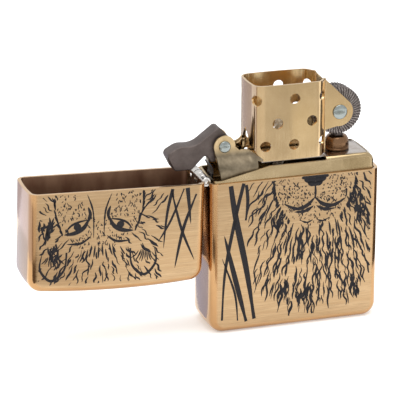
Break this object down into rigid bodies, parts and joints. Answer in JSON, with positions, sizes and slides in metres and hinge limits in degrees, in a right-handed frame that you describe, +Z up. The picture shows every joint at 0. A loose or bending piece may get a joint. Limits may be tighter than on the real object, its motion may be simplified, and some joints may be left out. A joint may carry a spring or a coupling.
{
  "type": "lighter",
  "caption": "Flip-top windproof pocket lighter with a hinged lid and a lift-out fuel insert with chimney, cam and striker wheel.",
  "frame": {"origin": "centre of the case's flat bottom", "axes": "+X away from the hinge along the width, +Y to the back, +Z up out of the case"},
  "size_m": [0.0774, 0.013, 0.0535],
  "materials": {
    "brushed_brass": "brushed",
    "bright_brass": "polished",
    "tube_brass": "satin",
    "hinge_steel": "nickel plated",
    "dark_steel": "dark satin",
    "spring_steel": "blued",
    "zinc": "zinc plated",
    "flint_grey": "matte",
    "engraving_ink": "matte black fill",
    "cotton": "fibrous",
    "felt": "felt"
  },
  "bodies": {
    "case": {"case_shell": "brushed_brass", "case_hinge_leaf": "hinge_steel", "hinge_pin": "hinge_steel"},
    "lid": {"lid_shell": "brushed_brass", "lid_hinge_leaf": "hinge_steel"},
    "insert": {"insert_shell": "bright_brass", "top_plate": "bright_brass", "chimney_frame": "bright_brass", "wheel_rivet": "zinc", "cam_rivet": "zinc", "cam_spring": "spring_steel", "cam_spring_rivet": "zinc", "flint_tube": "tube_brass", "flint_spring": "spring_steel", "wick": "cotton", "packing_left_lower": "cotton", "packing_left_upper": "cotton", "packing_right_lower": "cotton", "packing_right_upper": "cotton", "felt_pad": "felt"},
    "cam": {"cam": "dark_steel"},
    "striker": {"striker_wheel": "dark_steel"},
    "flint": {"flint": "flint_grey", "flint_spring_tip": "tube_brass"},
    "flint_screw": {"flint_screw": "tube_brass"}
  },
  "joints": [
    {"name": "lid_hinge", "type": "hinge", "parent": "case", "child": "lid", "pos_m": [-0.01929, 0, 0.03373], "axis": [0, -1, 0], "range_deg": [-177.9, 0]},
    {"name": "insert_slide", "type": "slide", "parent": "case", "child": "insert", "axis": [0, 0, 1], "range_m": [0, 0.036]},
    {"name": "cam_pivot", "type": "hinge", "parent": "insert", "child": "cam", "pos_m": [-0.01475, 0, 0.0405], "axis": [0, -1, 0], "range_deg": [-101, 0]},
    {"name": "wheel_spin", "type": "hinge", "parent": "insert", "child": "striker", "pos_m": [0.01075, 0, 0.04575], "axis": [0, 1, 0], "continuous": true},
    {"name": "flint_travel", "type": "slide", "parent": "insert", "child": "flint", "axis": [0, 0, 1], "range_m": [-0.002, 0], "stiffness_N_per_m": 150, "springref_m": 0.002, "deforming": ["flint_spring"]},
    {"name": "flint_screw_turn", "type": "hinge", "parent": "insert", "child": "flint_screw", "pos_m": [0.0113, 0, 0.0026], "axis": [0, 0, 1], "continuous": true}
  ],
  "couplings": [
    {"joint": "cam_pivot", "follows": "lid_hinge", "ratio": 0.5675}
  ]
}
